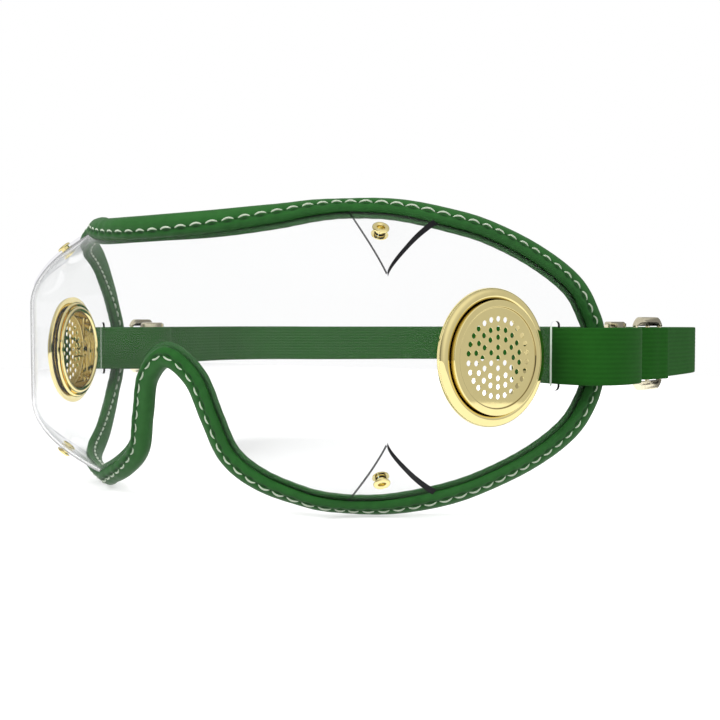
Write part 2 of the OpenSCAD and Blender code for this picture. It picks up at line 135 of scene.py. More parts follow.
def slabFaces(rows, columns):
    # two equal grids, one behind the other, and the wall round their rims
    grid, layer = gridFaces(rows, columns), rows * columns
    rim = np.concatenate([np.arange(rows) * columns, layer - columns + np.arange(1, columns),
                          np.arange(rows - 1, 0, -1) * columns - 1,
                          np.arange(columns - 2, 0, -1)])
    after = np.roll(rim, -1)
    wall = np.stack([rim, after, after + layer, rim + layer], -1)
    return [grid, grid[:, ::-1] + layer, wall]


def prism(outlineXY, low, high):
    # an upright solid on a flat outline
    n = len(outlineXY)
    points = np.concatenate([np.column_stack([outlineXY, np.full(n, h)]) for h in (low, high)])
    return points, tubeFaces(2, n)


def joined(parts):
    # several solids, each given as points and face arrays, as one such pair
    faces, count = [], 0
    for points, blocks in parts:
        faces += [block + count for block in blocks]
        count += len(points)
    return np.vstack([points for points, blocks in parts]), faces


def makeMesh(name, points, faces, uv=None):
    # a mesh from points in millimetres and a list of face arrays
    mesh = bpy.data.meshes.new(name)
    rows = [row for block in faces for row in np.asarray(block).tolist()]
    mesh.from_pydata((np.asarray(points) * mm).tolist(), [], rows)
    if uv is not None:
        layer = mesh.uv_layers.new(name="surface")
        corner = np.zeros(len(mesh.loops), np.int32)
        mesh.loops.foreach_get("vertex_index", corner)
        layer.data.foreach_set("uv", np.asarray(uv, np.float32)[corner].ravel())
    mesh.polygons.foreach_set("use_smooth", np.ones(len(mesh.polygons), bool))
    mesh.update()
    return mesh


def markSharp(mesh, degrees):
    # edges whose faces turn by more than this stay crisp
    mesh.set_sharp_from_angle(angle=math.radians(degrees))
    return mesh


def outward(mesh, merge=True):
    # merges doubles and turns every face outwards
    b = bmesh.new()
    b.from_mesh(mesh)
    if merge:
        bmesh.ops.remove_doubles(b, verts=b.verts, dist=1e-7)
    bmesh.ops.recalc_face_normals(b, faces=b.faces)
    b.to_mesh(mesh)
    b.free()
    return mesh


def pointsOf(mesh):
    # the mesh's points in millimetres
    rows = np.zeros(len(mesh.vertices) * 3)
    mesh.vertices.foreach_get("co", rows)
    return rows.reshape(-1, 3) / mm


def store(mesh, name, rows):
    # a number, or a direction, for each point of the mesh
    kind, key = ("FLOAT", "value") if rows.ndim == 1 else ("FLOAT_VECTOR", "vector")
    attribute = mesh.attributes.new(name, kind, "POINT")
    attribute.data.foreach_set(key, rows.astype(np.float32).ravel())


def newObject(name, data):
    # an object in the scene, left at the origin
    thing = bpy.data.objects.new(name, data)
    bpy.context.scene.collection.objects.link(thing)
    return thing


def addPiece(name, mesh, materials, body, replaced=()):
    # a new piece with its materials, that rides on a body and stands for CAD nodes
    piece = newObject(name, mesh)
    for m in materials:
        mesh.materials.append(m)
    if body:
        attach(piece, body)
    if replaced:
        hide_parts(*replaced)
    return piece


# Shader nodes

def fill(n, values):
    # each input is linked to a socket, or written as a number, row or colour
    for key, value in values.items():
        socket = n.inputs[key]
        if isinstance(value, bpy.types.NodeSocket):
            n.id_data.links.new(value, socket)
        else:
            socket.default_value = (*value, 1) if socket.type == "RGBA" else value
    return n


def node(tree, kind, values=None, **settings):
    # one node with its settings and its inputs
    n = tree.nodes.new("ShaderNode" + kind)
    for key, value in settings.items():
        setattr(n, key, value)
    return fill(n, values or {})


def calc(tree, operation, a, b=0.0, c=0.0, clamp=False):
    # one Math node on sockets or numbers
    return node(tree, "Math", {0: a, 1: b, 2: c}, operation=operation,
                use_clamp=clamp).outputs[0]


def blend(tree, mask, a, b, kind="RGBA"):
    # a where the mask is 0 and b where it is 1, as colours or numbers
    first, out = (6, 2) if kind == "RGBA" else (2, 0)
    values = {0: mask, first: a, first + 1: b}
    return node(tree, "Mix", values, data_type=kind).outputs[out]


def stepped(tree, value, lo, hi):
    # smooth step of a value from 0 at lo to 1 at hi
    return node(tree, "MapRange", {"Value": value, "From Min": lo, "From Max": hi},
                interpolation_type="SMOOTHSTEP").outputs["Result"]


def turnedAway(tree, lo, hi, **given):
    # smooth step of how far the surface, or a given normal, turns from the eye
    weight = node(tree, "LayerWeight", {"Blend": 0.5, **given})
    return stepped(tree, weight.outputs["Facing"], lo, hi)


def rayMask(tree, *names):
    # 1 for rays of any of the named kinds
    ray = node(tree, "LightPath")
    mask = ray.outputs[names[0]]
    for name in names[1:]:
        mask = calc(tree, "MAXIMUM", mask, ray.outputs[name])
    return mask


def noise(tree, place, scale, detail):
    # soft clouds between 0 and 1
    values = {"Vector": place, "Scale": scale, "Detail": detail}
    return node(tree, "TexNoise", values).outputs["Fac"]


def pattern(tree, name):
    # a value that the mesh carries over its surface
    return node(tree, "Attribute", attribute_name=name).outputs["Fac"]


def addBump(tree, main, height, strength, distance):
    # tilts the shader's normal by the slope of a height
    values = {"Strength": strength, "Distance": distance, "Height": height}
    fill(main, {"Normal": node(tree, "Bump", values).outputs["Normal"]})


def letThrough(tree, main, share, colour=(1, 1, 1)):
    # tinted transparency takes over as the share goes from 0 to 1
    clear = node(tree, "BsdfTransparent", {"Color": colour})
    both = node(tree, "MixShader", {0: share, 1: main.outputs[0], 2: clear.outputs[0]})
    fill(tree.nodes["Material Output"], {"Surface": both.outputs[0]})


# Materials

def newGroup(name, inputs, outputs):
    # a shader node group with named float inputs and outputs, over the object's coordinates
    group = bpy.data.node_groups.new(name, "ShaderNodeTree")
    for way, labels in (("INPUT", inputs), ("OUTPUT", outputs)):
        for label in labels:
            group.interface.new_socket(label, in_out=way, socket_type="NodeSocketFloat")
    place = node(group, "TexCoord").outputs["Object"]
    given, out = (group.nodes.new("NodeGroup" + way) for way in ("Input", "Output"))
    return group, place, given.outputs, out


def buildGrainGroup():
    # pores: a fine cell pattern over a softer noise
    group, place, given, out = newGroup("poreGrain", ["Scale", "Softness"], ["Height", "Mask"])
    cells = node(group, "TexVoronoi", {"Vector": place, "Scale": given["Scale"]}, feature="F1")
    cloud = noise(group, place, calc(group, "MULTIPLY", given["Scale"], 0.17), 4.0)
    soft = calc(group, "MULTIPLY", cloud, given["Softness"])
    height = calc(group, "ADD", cells.outputs["Distance"], soft)
    fill(out, {"Height": height, "Mask": cloud})
    return group


def buildHandledGroup():
    # handling marks: broad clouds cut by fine ones, 0 where clean and 1 where dull
    group, place, given, out = newGroup("handledMarks", ["Size", "Amount"], ["Mask"])
    broad = noise(group, place, given["Size"], 3.0)
    fine = noise(group, place, calc(group, "MULTIPLY", given["Size"], 7.0), 6.0)
    both = calc(group, "MULTIPLY", broad, fine)
    mask = calc(group, "MULTIPLY_ADD", both, 4.0, -0.7, clamp=True)
    fill(out, {"Mask": calc(group, "MULTIPLY", mask, given["Amount"])})
    return group


poreGrain = buildGrainGroup()
handledMarks = buildHandledGroup()


def grained(tree, scale, softness):
    # the pores' height and mask
    n = node(tree, "Group", {"Scale": scale, "Softness": softness}, node_tree=poreGrain)
    return n.outputs["Height"], n.outputs["Mask"]


def marked(tree, size, amount):
    # the handling marks' mask
    n = node(tree, "Group", {"Size": size, "Amount": amount}, node_tree=handledMarks)
    return n.outputs["Mask"]


def newMaterial(name):
    # a material, its node tree and its Principled shader
    m = bpy.data.materials.new(name)
    m.use_nodes = True
    return m, m.node_tree, m.node_tree.nodes["Principled BSDF"]


# the sunk colour is painted shade for the dimples and needle holes under the stitches
leatherLook = dict(dark=(0.008, 0.054, 0.008), mid=(0.019, 0.103, 0.018),
                   worn=(0.04, 0.135, 0.035), sunk=(0.004, 0.02, 0.005), wear=0.45,
                   poreScale=2600.0, bumpHeight=0.00006, smooth=0.46, rough=0.2)


def leatherMaterial(look):
    # pores darken it, wear lightens its crests, and painted shade makes it nearly black where the
    # thread sinks in
    m, tree, main = newMaterial("greenLeather")
    height, pores = grained(tree, look["poreScale"], 0.5)
    wear = calc(tree, "MULTIPLY", pattern(tree, "crest"), look["wear"])
    body = blend(tree, wear, blend(tree, pores, look["dark"], look["mid"]), look["worn"])
    marks = marked(tree, 70.0, 0.55)
    fill(main, {
        "Base Color": blend(tree, pattern(tree, "hollowShade"), body, look["sunk"]),
        "Roughness": calc(tree, "MULTIPLY_ADD", marks, look["rough"], look["smooth"]),
        "Specular IOR Level": 0.18})
    addBump(tree, main, height, 0.5, look["bumpHeight"])
    return m


threadLook = dict(pale=(0.62, 0.7, 0.56), shade=(0.3, 0.38, 0.26), twists=9.0)


def threadMaterial(look):
    # slanting bands of painted shade for the twist, along the thread's own map
    m, tree, main = newMaterial("paleThread")
    place = node(tree, "UVMap", uv_map="surface").outputs["UV"]
    values = {"Vector": place, "Scale": look["twists"], "Distortion": 0.6}
    wave = node(tree, "TexWave", values, bands_direction="DIAGONAL").outputs["Fac"]
    fill(main, {"Base Color": blend(tree, wave, look["shade"], look["pale"]),
                "Roughness": 0.6, "Sheen Weight": 0.3})
    addBump(tree, main, wave, 0.6, 0.00006)
    return m


# the groove colour is painted shade between the ribs
elasticLook = dict(groove=(0.0085, 0.06, 0.006), rib=(0.0105, 0.072, 0.0075),
                   light=(0.014, 0.085, 0.01), ribPitch=1.25, weavePitch=0.62, weave=0.02)


def elasticMaterial(look):
    # cosines across for the ribs and along for the weave, with painted shade in the grooves
    #     # between the ribs; the map holds millimetres, along the strap and then across it
    m, tree, main = newMaterial("ribbedElastic")
    place = node(tree, "UVMap", uv_map="surface").outputs["UV"]
    apart = node(tree, "SeparateXYZ", {0: place})
    across, along = (calc(tree, "COSINE", calc(tree, "MULTIPLY", apart.outputs[axis],
                                               2 * math.pi / look[step]))
                     for axis, step in (("Y", "ribPitch"), ("X", "weavePitch")))
    ribs = calc(tree, "MULTIPLY_ADD", across, 0.5, 0.5)
    weave = calc(tree, "MULTIPLY", across, along)
    mask = calc(tree, "MULTIPLY_ADD", weave, look["weave"], ribs, clamp=True)
    # painted shade: darker in the grooves between the ribs
    body = blend(tree, mask, look["groove"], look["rib"])
    fill(main, {"Base Color": blend(tree, marked(tree, 45.0, 0.35), body, look["light"]),
                "Roughness": 0.85, "Sheen Weight": 0.03, "Sheen Roughness": 0.4,
                "Specular IOR Level": 0.1})
    addBump(tree, main, mask, 0.12, 0.00003)
    return m


# the shade colours are painted shade, laid where the mesh carries a groove value
polishedLook = dict(shade=(0.07, 0.035, 0.01), clean=(0.92, 0.79, 0.375), dull=(0.8, 0.67, 0.31),
                    markSize=90.0, markAmount=0.3, smooth=0.02, rough=0.06, stretch=(1, 1, 1),
                    streakScale=500.0, streaks=0.04)
brushedLook = dict(shade=(0.1, 0.07, 0.03), clean=(0.93, 0.86, 0.64), dull=(0.72, 0.64, 0.44),
                   markSize=160.0, markAmount=0.6, smooth=0.1, rough=0.14, stretch=(1, 1, 12),
                   streakScale=900.0, streaks=0.4)


def brassMaterial(name, look):
    # handling marks dull it, streaks run round it, and painted shade darkens its grooves
    m, tree, main = newMaterial(name)
    marks = marked(tree, look["markSize"], look["markAmount"])
    body = blend(tree, marks, look["clean"], look["dull"])
    place = node(tree, "TexCoord").outputs["Object"]
    stretch = node(tree, "Mapping", {"Vector": place, "Scale": look["stretch"]})
    streaks = noise(tree, stretch.outputs["Vector"], look["streakScale"], 4.0)
    # painted shade darkens it where the mesh carries a groove value
    fill(main, {
        "Base Color": blend(tree, pattern(tree, "groove"), body, look["shade"]), "Metallic": 1.0,
        "Roughness": calc(tree, "MULTIPLY_ADD", marks, look["rough"], look["smooth"])})
    addBump(tree, main, streaks, look["streaks"], 0.00002)
    return m


# the edge-on colour is a painted grey shade where the sheet turns away from the eye
clearLook = dict(colour=(0.965, 0.968, 0.97), edgeOnShade=(0.08, 0.09, 0.1), edgeFrom=0.74,
                 edgeTo=0.96, shadow=(0.96, 0.965, 0.97), bend=1.1,
                 film=(0.9, 0.91, 0.92), filmTint=(0.99, 0.99, 0.99), filmClear=0.996)


def clearMaterial(look):
    # smooth glass, with painted grey shade where it turns edge-on, and clear for rays from lamps
    # so that it
    #     # throws no dark shadow
    m, tree, main = newMaterial("clearSheet")
    turned = turnedAway(tree, look["edgeFrom"], look["edgeTo"])
    fill(main, {"Base Color": blend(tree, turned, look["colour"], look["edgeOnShade"]),
                "Roughness": calc(tree, "ADD", marked(tree, 40.0, 0.05), 0.01),
                "IOR": look["bend"], "Transmission Weight": 0.99})
    letThrough(tree, main, rayMask(tree, "Is Shadow Ray"), look["shadow"])
    return m


def filmMaterial(look):
    # the laps of the same clear sheet: a faint tint that the light goes straight through
    m, tree, main = newMaterial("clearFilm")
    fill(main, {"Base Color": look["film"],
                "Roughness": calc(tree, "ADD", marked(tree, 40.0, 0.2), 0.08)})
    letThrough(tree, main, look["filmClear"], look["filmTint"])
    return m


# the dark colours are painted shade for the cut edges, and the pale ones painted light for the
# slots' long walls
wallLook = dict(grain=1800.0, dark=((0.003, 0.003, 0.004), (0.018, 0.018, 0.02)),
                pale=((0.6, 0.72, 0.6), (0.82, 0.9, 0.8)), darkGone=(0.58, 0.7),
                paleSeen=(0.12, 0.26))


def cutEdgeMaterial(look):
    # painted shade makes the sheet's cut edge nearly black; clear from its back and where, by the
    # facing
    #     # that the mesh carries, the sheet turns edge-on
    m, tree, main = newMaterial("cutEdgeShade")
    height, pores = grained(tree, look["grain"], 0.8)
    fill(main, {"Base Color": blend(tree, pores, *look["dark"]), "Roughness": 0.4,
                "Specular IOR Level": 0.1})
    addBump(tree, main, height, 0.3, 0.00003)
    facing = node(tree, "Attribute", attribute_name="sheetFacing").outputs["Vector"]
    back = node(tree, "NewGeometry").outputs["Backfacing"]
    gone = calc(tree, "MAXIMUM", back, turnedAway(tree, *look["darkGone"], Normal=facing))
    letThrough(tree, main, calc(tree, "MAXIMUM", gone, pattern(tree, "thin")), (0.9, 0.9, 0.92))
    return m


def litEdgeMaterial(look):
    # the long walls of the slots, which carry light and look pale unless they are seen square on
    m, tree, main = newMaterial("litEdge")
    pores = grained(tree, look["grain"], 0.8)[1]
    fill(main, {"Base Color": blend(tree, pores, *look["pale"]), "Roughness": 0.5,
                "Specular IOR Level": 0.3})
    letThrough(tree, main, calc(tree, "SUBTRACT", 1.0, turnedAway(tree, *look["paleSeen"])))
    return m


greenLeather = leatherMaterial(leatherLook)
paleThread = threadMaterial(threadLook)
ribbedElastic = elasticMaterial(elasticLook)
polishedBrass = brassMaterial("polishedBrass", polishedLook)
brushedBrass = brassMaterial("brushedBrass", brushedLook)
clearSheet = clearMaterial(clearLook)
clearFilm = filmMaterial(clearLook)
cutEdgeShade = cutEdgeMaterial(wallLook)
litEdge = litEdgeMaterial(wallLook)
print("materials are ready")


# The sheet's shape

sheet = dict(thick=0.8, frontHalf=40.0, cornerR=28.5, sideAngle=66.0, half=135.0, high=38.0,
             drawTop=16.5, drawBottom=17.5, lean=0.23, leanBase=2.5, flatHigh=14.0,
             fullHigh=35.0, sideShare=0.45, slotS=119.53)
outline = np.array([(0, 0), (6, -14.5), (9, -42), (12, -68), (18.5, -84), (28, -93), (39.5, -98),
                    (50.5, -99.8), (59, -98.3), (70, -90), (82.5, -74.5), (92, -55), (97, -35.5),
                    (99.3, -19), (99.8, -1), (99.7, 15), (98.2, 28.5), (93.5, 50.5),
                    (84.7, 70.3), (75, 84.5), (66.7, 91.8), (57, 98.3), (45.3, 99), (34.5, 97.4),
                    (24.3, 92.7), (13, 88.7), (0, 87.3)])
outline = outline * (sheet["half"] / 100, sheet["high"] / 100)
halfThick = sheet["thick"] / 2
temple = 14  # the outline's point that is furthest round the side
sideTurn = math.radians(sheet["sideAngle"])
cornerMid = sheet["frontHalf"] + sheet["cornerR"] * sideTurn / 2
leanSpan = (5, cornerMid - 2)  # over which the front's lean dies out
pullSpan = (1, cornerMid + 2)  # over which the edges' pull grows
easeSpan = (cornerMid + 2, cornerMid + 41)  # over which it drops to its share at the side
turnSpan = (cornerMid - 45, cornerMid + 35)  # over which its direction turns


def bendLine(s):
    # plan of the level bend line: straight, then an arc, then straight along the side
    turn = np.clip((s - sheet["frontHalf"]) / sheet["cornerR"], 0, sideTurn)
    run = np.maximum(s - 2 * cornerMid + sheet["frontHalf"], 0)
    x = (np.minimum(s, sheet["frontHalf"]) + sheet["cornerR"] * np.sin(turn)
         + run * math.cos(sideTurn))
    y = sheet["cornerR"] * (1 - np.cos(turn)) + run * math.sin(sideTurn)
    return x, y, turn


frontY = -float(bendLine(sheet["slotS"])[1])


def sheetPoint(s, z):
    # bend line, plus the front's lean, plus the pull that draws the top and bottom edges in
    s, z = np.broadcast_arrays(np.asarray(s, float), np.asarray(z, float))
    r = np.abs(s)
    x, y, turn = bendLine(r)
    lean = (1 - ease(*leanSpan, r)) * (sheet["leanBase"] - sheet["lean"] * z)
    pull = ease(*pullSpan, r) * (1 - (1 - sheet["sideShare"]) * ease(*easeSpan, r))
    far = np.maximum(0, np.abs(z) - sheet["flatHigh"]) / (sheet["fullHigh"] - sheet["flatHigh"])
    drawn = np.where(z > 0, sheet["drawTop"], sheet["drawBottom"]) * pull * far ** 2
    pullTurn = sideTurn * ease(*turnSpan, r)
    x = x - drawn * np.sin(pullTurn)
    y = frontY + y + lean * np.cos(turn) + drawn * np.cos(pullTurn)
    return np.stack([np.where(s < 0, -x, x), y, z], -1)


def sheetFacing(s, z):
    # unit normal out of the sheet's front face
    s, z = np.asarray(s, float), np.asarray(z, float)
    alongS = sheetPoint(s + 0.2, z) - sheetPoint(s - 0.2, z)
    alongZ = sheetPoint(s, z + 0.2) - sheetPoint(s, z - 0.2)
    return unitRows(np.cross(alongS, alongZ))


def onSheet(s, z):
    # a place on the sheet with three directions: down the sheet, across it and out of it
    out = sheetFacing(s, z)
    level = math.hypot(out[0], out[1])
    down = np.array([out[2] * out[0] / level, out[2] * out[1] / level, -level])
    return sheetPoint(s, z), down, np.cross(out, down), out


def placed(points, s, z, side=1):
    # local points carried to a place on the sheet
    at, *directions = onSheet(s, z)
    return mirrored(at + np.asarray(points, float) @ np.array(directions), side)


# The edge's line round the sheet, evenly spaced

loop = np.vstack([outline, (outline * (-1, 1))[-2:0:-1]])
fineLoop = closedCurve(loop, 60)
fineLength = runLength(sheetPoint(*fineLoop.T))
edgeLength = fineLength[-1]


def edgeAt(length):
    # s and z on the outline at a length round it
    return [np.interp(np.mod(length, edgeLength), fineLength, row) for row in fineLoop.T]


def edgeFrames(length):
    # place, direction out of the sheet's edge and direction out of its face
    s, z = edgeAt(length)
    along = unitRows(sheetPoint(*edgeAt(length + 0.6)) - sheetPoint(*edgeAt(length - 0.6)))
    face = sheetFacing(s, z)
    return sheetPoint(s, z), unitRows(np.cross(along, face)), face


# The padded leather edge: a rolled section carried round the outline

edge = dict(width=5.8, front=2.6, back=1.9, lap=1.0, gap=0.15, power=0.75, grooveFrom=-1.6,
            grooveTo=-0.1, stitchPitch=3.9, rowOut=-0.8, rowBack=-1.5, perStitch=8,
            furrow=0.14, furrowWide=0.8, dimple=0.4, dimpleIn=0.42, dimpleWide=0.34,
            dimpleLong=0.3, hole=0.35, holeIn=0.05, holeWide=0.3, holeLong=0.09,
            pucker=0.05, puckerWide=2.2, swellWide=3.0,
            swells=((0.06, 23.0, 1.0), (0.05, 9.7, 0.0)))
stitchCount = int(round(edgeLength / edge["stitchPitch"]))
pitch = edgeLength / stitchCount
halfRoll = edge["width"] / 2
halfLap = edge["lap"] / 2


def flattened(c):
    # a cosine or sine raised to the roll's power, with its sign
    return np.sign(c) * np.abs(c) ** edge["power"]


def rollSection():
    # outer roll, then inner roll, then back through the groove that holds the sheet
    groove = halfThick + edge["gap"]
    frontLip, backLip = (math.asin((groove / edge[end]) ** (1 / edge["power"]))
                         for end in ("front", "back"))
    a = np.linspace(math.pi - frontLip, 0.0, 30)
    b = np.linspace(-0.12, -math.pi + backLip, 24)
    front = np.stack([halfRoll * flattened(np.cos(a)), edge["front"] * flattened(np.sin(a))], -1)
    back = np.stack([-halfLap + (halfRoll + halfLap) * flattened(np.cos(b)),
                     edge["back"] * flattened(np.sin(b))], -1)
    inside = [(edge["grooveFrom"], -groove), (edge["grooveTo"], -groove),
              (edge["grooveTo"], groove), (edge["grooveFrom"], groove)]
    return np.vstack([front, back, inside]), len(front), len(back)


def archHeight(x, half, high):
    # height at x of that flattened half circle
    return high * (1 - np.abs(x / half) ** (1 / edge["power"])) ** edge["power"]


def buildLeather():
    # the section along the edge's frames, less the furrow, the dimples under the stitches, the
    # needle holes and the pucker between them, plus a slow swell
    section, frontCount, backCount = rollSection()
    count = stitchCount * edge["perStitch"]
    length = np.arange(count) * edgeLength / count
    place, out, face = edgeFrames(length)
    tangent = np.roll(section, -1, axis=0) - np.roll(section, 1, axis=0)
    normal = unitRows(np.stack([-tangent[:, 1], tangent[:, 0]], -1))
    k, a = np.arange(len(section)), section[:, 0]
    isFront = ((k > 0) & (k < frontCount)) * 1.0
    isBack = ((k >= frontCount) & (k < frontCount + backCount - 1)) * 1.0
    used = isFront + isBack
    phase = ((length / pitch) % 1)[:, None]
    fromRow = a - isFront * edge["rowOut"] - isBack * edge["rowBack"]
    under = (bell(fromRow + edge["dimpleIn"], edge["dimpleWide"])
             * bell(phase - 0.5, edge["dimpleLong"]))
    pierced = (bell(fromRow + edge["holeIn"], edge["holeWide"])
               * bell(np.minimum(phase, 1 - phase), edge["holeLong"]))
    pucker = np.cos(2 * math.pi * phase) * bell(fromRow, edge["puckerWide"])
    swell = sum(high * np.sin(length / long + start) for high, long, start in edge["swells"])
    depth = (edge["furrow"] * bell(fromRow, edge["furrowWide"]) + edge["dimple"] * under
             + edge["hole"] * pierced - edge["pucker"] * pucker
             - swell[:, None] * bell(fromRow, edge["swellWide"])) * used
    moved = section - normal * depth[..., None]
    points = place[:, None] + moved[..., :1] * out[:, None] + moved[..., 1:] * face[:, None]
    mesh = makeMesh("edgeLeather", points.reshape(-1, 3),
                    [gridFaces(count, len(section), True, True)])
    # painted shade: the dimples under the stitches and the needle holes get the near-black colour
    store(mesh, "hollowShade", (np.clip(0.9 * under + pierced, 0, 1) * used).ravel())
    crest = isFront * bell(a - 1.4, 1.1) * 0.6 + isBack * 0.25
    store(mesh, "crest", np.tile(crest, count))
    return outward(mesh)


edgeLeather = addPiece("edgeLeather", buildLeather(), [greenLeather], "goggles",
                       ["edge_binding", "edge_core"])
print("leather edge", round(edgeLength, 1), "mm round,", stitchCount, "stitches")


# The stitches: short arcs of thread that sink into the leather at both ends

thread = dict(steps=8, sides=6, inward=0.2, under=0.1, sink=0.12, taper=0.45,
              front=dict(share=0.98, radius=0.25, bow=0.7, lift=0.12),
              back=dict(share=0.8, radius=0.3, bow=0.15, lift=0.3))


def buildThread():
    # tubes along the two rows: each middle line bows out, arches over the roll and dips in
    t = np.linspace(-1, 1, thread["steps"])
    turns = np.arange(thread["sides"]) / thread["sides"]
    k = np.arange(stitchCount)[:, None]
    per = thread["steps"] * thread["sides"]
    blocks, faces, uvs = [], [], []
    for row, sign, look in ((edge["rowOut"], 1, thread["front"]),
                            (edge["rowBack"], -1, thread["back"])):
        length = (k + 0.5 + 0.5 * look["share"] * t) * pitch
        place, out, face = edgeFrames(length)
        a = row - thread["inward"] + look["bow"] * (1 - t ** 2)
        roll = (archHeight(a, halfRoll, edge["front"]) if sign > 0
                else archHeight(a + halfLap, halfRoll + halfLap, edge["back"]))
        height = (roll + look["lift"] * (1 - t ** 2) - thread["under"]
                  - thread["sink"] * np.abs(t) ** 8)
        r = look["radius"] * (1 - thread["taper"] * np.abs(t) ** 5)
        middle = place + a[:, None] * out + (sign * height)[:, None] * face
        ring = (np.cos(2 * math.pi * turns)[:, None] * out[:, :, None]
                + np.sin(2 * math.pi * turns)[:, None] * face[:, :, None])
        start = k[..., None] * per + len(blocks) * stitchCount * per
        faces += [(block + start).reshape(-1, block.shape[1])
                  for block in tubeFaces(thread["steps"], thread["sides"])]
        blocks.append((middle[:, :, None] + r[:, None, None] * ring).reshape(-1, 3))
        uv = np.stack(np.broadcast_arrays((length / pitch)[:, :, None], turns), -1)
        uvs.append(uv.reshape(-1, 2))
    return outward(makeMesh("edgeStitches", np.vstack(blocks), faces, np.vstack(uvs)))


addPiece("edgeStitches", buildThread(), [paleThread], "goggles", ["edge_stitching"])
print("stitches are in")


# The clear sheet, its darts and its cut-outs

lens = dict(columns=110, rows=64, endIn=0.3)
# inside and step: how much painted shade falls inside the cap and on the step at the plate's rim
vent = dict(s=96.63, flange=17.65, face=14.55, faceHigh=3.0, dish=0.35, bore=12.7, wall=0.8,
            holeD=1.45, plate=0.28, outerRow=9.75, crown=1.45, inside=0.4, step=0.7)
eyelet = dict(s=cornerMid + 10.6, top=30.8, bottom=29.6, head=2.15, barrel=1.3, wall=0.4)
slot = dict(width=3.0, half=9.25, corner=1.2)
dart = dict(tipS=cornerMid + 8.8, tipZ=20.0, frontW=6.0, rearW=19.8, rearBow=1.4, frontZ=0.94,
            rearZ=0.9, rearFoot=1.05, frontFoot=0.06, frontShare=0.9, footRise=0.02, lift=0.005)
eyeletHole = circleXY(eyelet["barrel"] + 0.1, 32)
sheetHoles = [(circleXY(vent["bore"] + vent["wall"] + 0.2, 96), vent["s"], 0.0),
              (roundedXY(slot["half"], slot["width"] / 2, slot["corner"]), sheet["slotS"], 0.0),
              (eyeletHole, eyelet["s"], eyelet["top"]),
              (eyeletHole, eyelet["s"], -eyelet["bottom"])]


def outlineAt(u):
    # the outline between its chosen points, counted from the notch
    k = np.floor(u).astype(int)
    a, b, c, d = (loop[(k + i) % len(loop)] for i in (-1, 0, 1, 2))
    return smoothRow(a, b, c, d, (u - k)[..., None])


def buildSheet():
    # columns run from the lower half of the outline to the upper half, on both sides
    brow = len(outline) - 1
    i = np.arange(-lens["columns"], lens["columns"] + 1)
    f = np.abs(i) / lens["columns"]
    low, high = outlineAt(f * (temple - 1)), outlineAt(brow - f * (brow - temple - 1))
    share = (0.5 - 0.5 * np.cos(np.linspace(0, math.pi, lens["rows"] + 1)))[None, :, None]
    sz = low[:, None] * (1 - share) + high[:, None] * share
    s = (sz[..., 0] - lens["endIn"] * f[:, None]) * np.where(i < 0, -1, 1)[:, None]
    middle = sheetPoint(s, sz[..., 1])
    rise = halfThick * sheetFacing(s, sz[..., 1])
    points = np.concatenate([(middle + h * rise).reshape(-1, 3) for h in (1, -1)])
    return outward(makeMesh("clearLens", points, slabFaces(len(i), lens["rows"] + 1)))


def cut(piece, shapes, walls=()):
    # takes solids, given as point and face arrays, out of a piece; the walls that they leave
    # show the first material given, and the longest flat ones the second
    for points, faces in shapes:
        mesh = outward(makeMesh("cutter", points, faces))
        for m in walls:
            mesh.materials.append(m)
        longest = max(f.area for f in mesh.polygons if len(f.vertices) == 4)
        for f in mesh.polygons:
            f.material_index = int(bool(walls) and len(f.vertices) == 4 and f.area == longest)
        tool = newObject("cutter", mesh)
        change = piece.modifiers.new("cut", "BOOLEAN")
        change.object, change.operation, change.solver = tool, "DIFFERENCE", "EXACT"
        change.material_mode = "TRANSFER"
        bpy.context.view_layer.update()
        shown = piece.evaluated_get(bpy.context.evaluated_depsgraph_get())
        done = bpy.data.meshes.new_from_object(shown)
        piece.modifiers.remove(change)
        old, name = piece.data, piece.data.name
        piece.data = done
        bpy.data.meshes.remove(old)
        done.name = name
        bpy.data.objects.remove(tool)
        bpy.data.meshes.remove(mesh)


def writeFacing(mesh):
    # each point carries the outward direction of the sheet at the nearest hole
    spots = [(side, s, z) for side, word in sides for xy, s, z in sheetHoles]
    at = np.array([mirrored(sheetPoint(s, z), side) for side, s, z in spots])
    out = np.array([mirrored(sheetFacing(s, z), side) for side, s, z in spots])
    away = np.linalg.norm(pointsOf(mesh)[:, None] - at, axis=-1)
    store(mesh, "sheetFacing", out[away.argmin(1)])


clearLens = addPiece("clearLens", buildSheet(), [clearSheet], "goggles", ["lens"])
# the holes' walls take painted shade, and the slots' long walls painted light
cutters = [(prism(xy, -3, 3), s, z, side) for side, word in sides for xy, s, z in sheetHoles]
cut(clearLens, [(placed(points, s, z, side), faces) for (points, faces), s, z, side in cutters],
    [cutEdgeShade, litEdge])
markSharp(clearLens.data, 40)
writeFacing(clearLens.data)


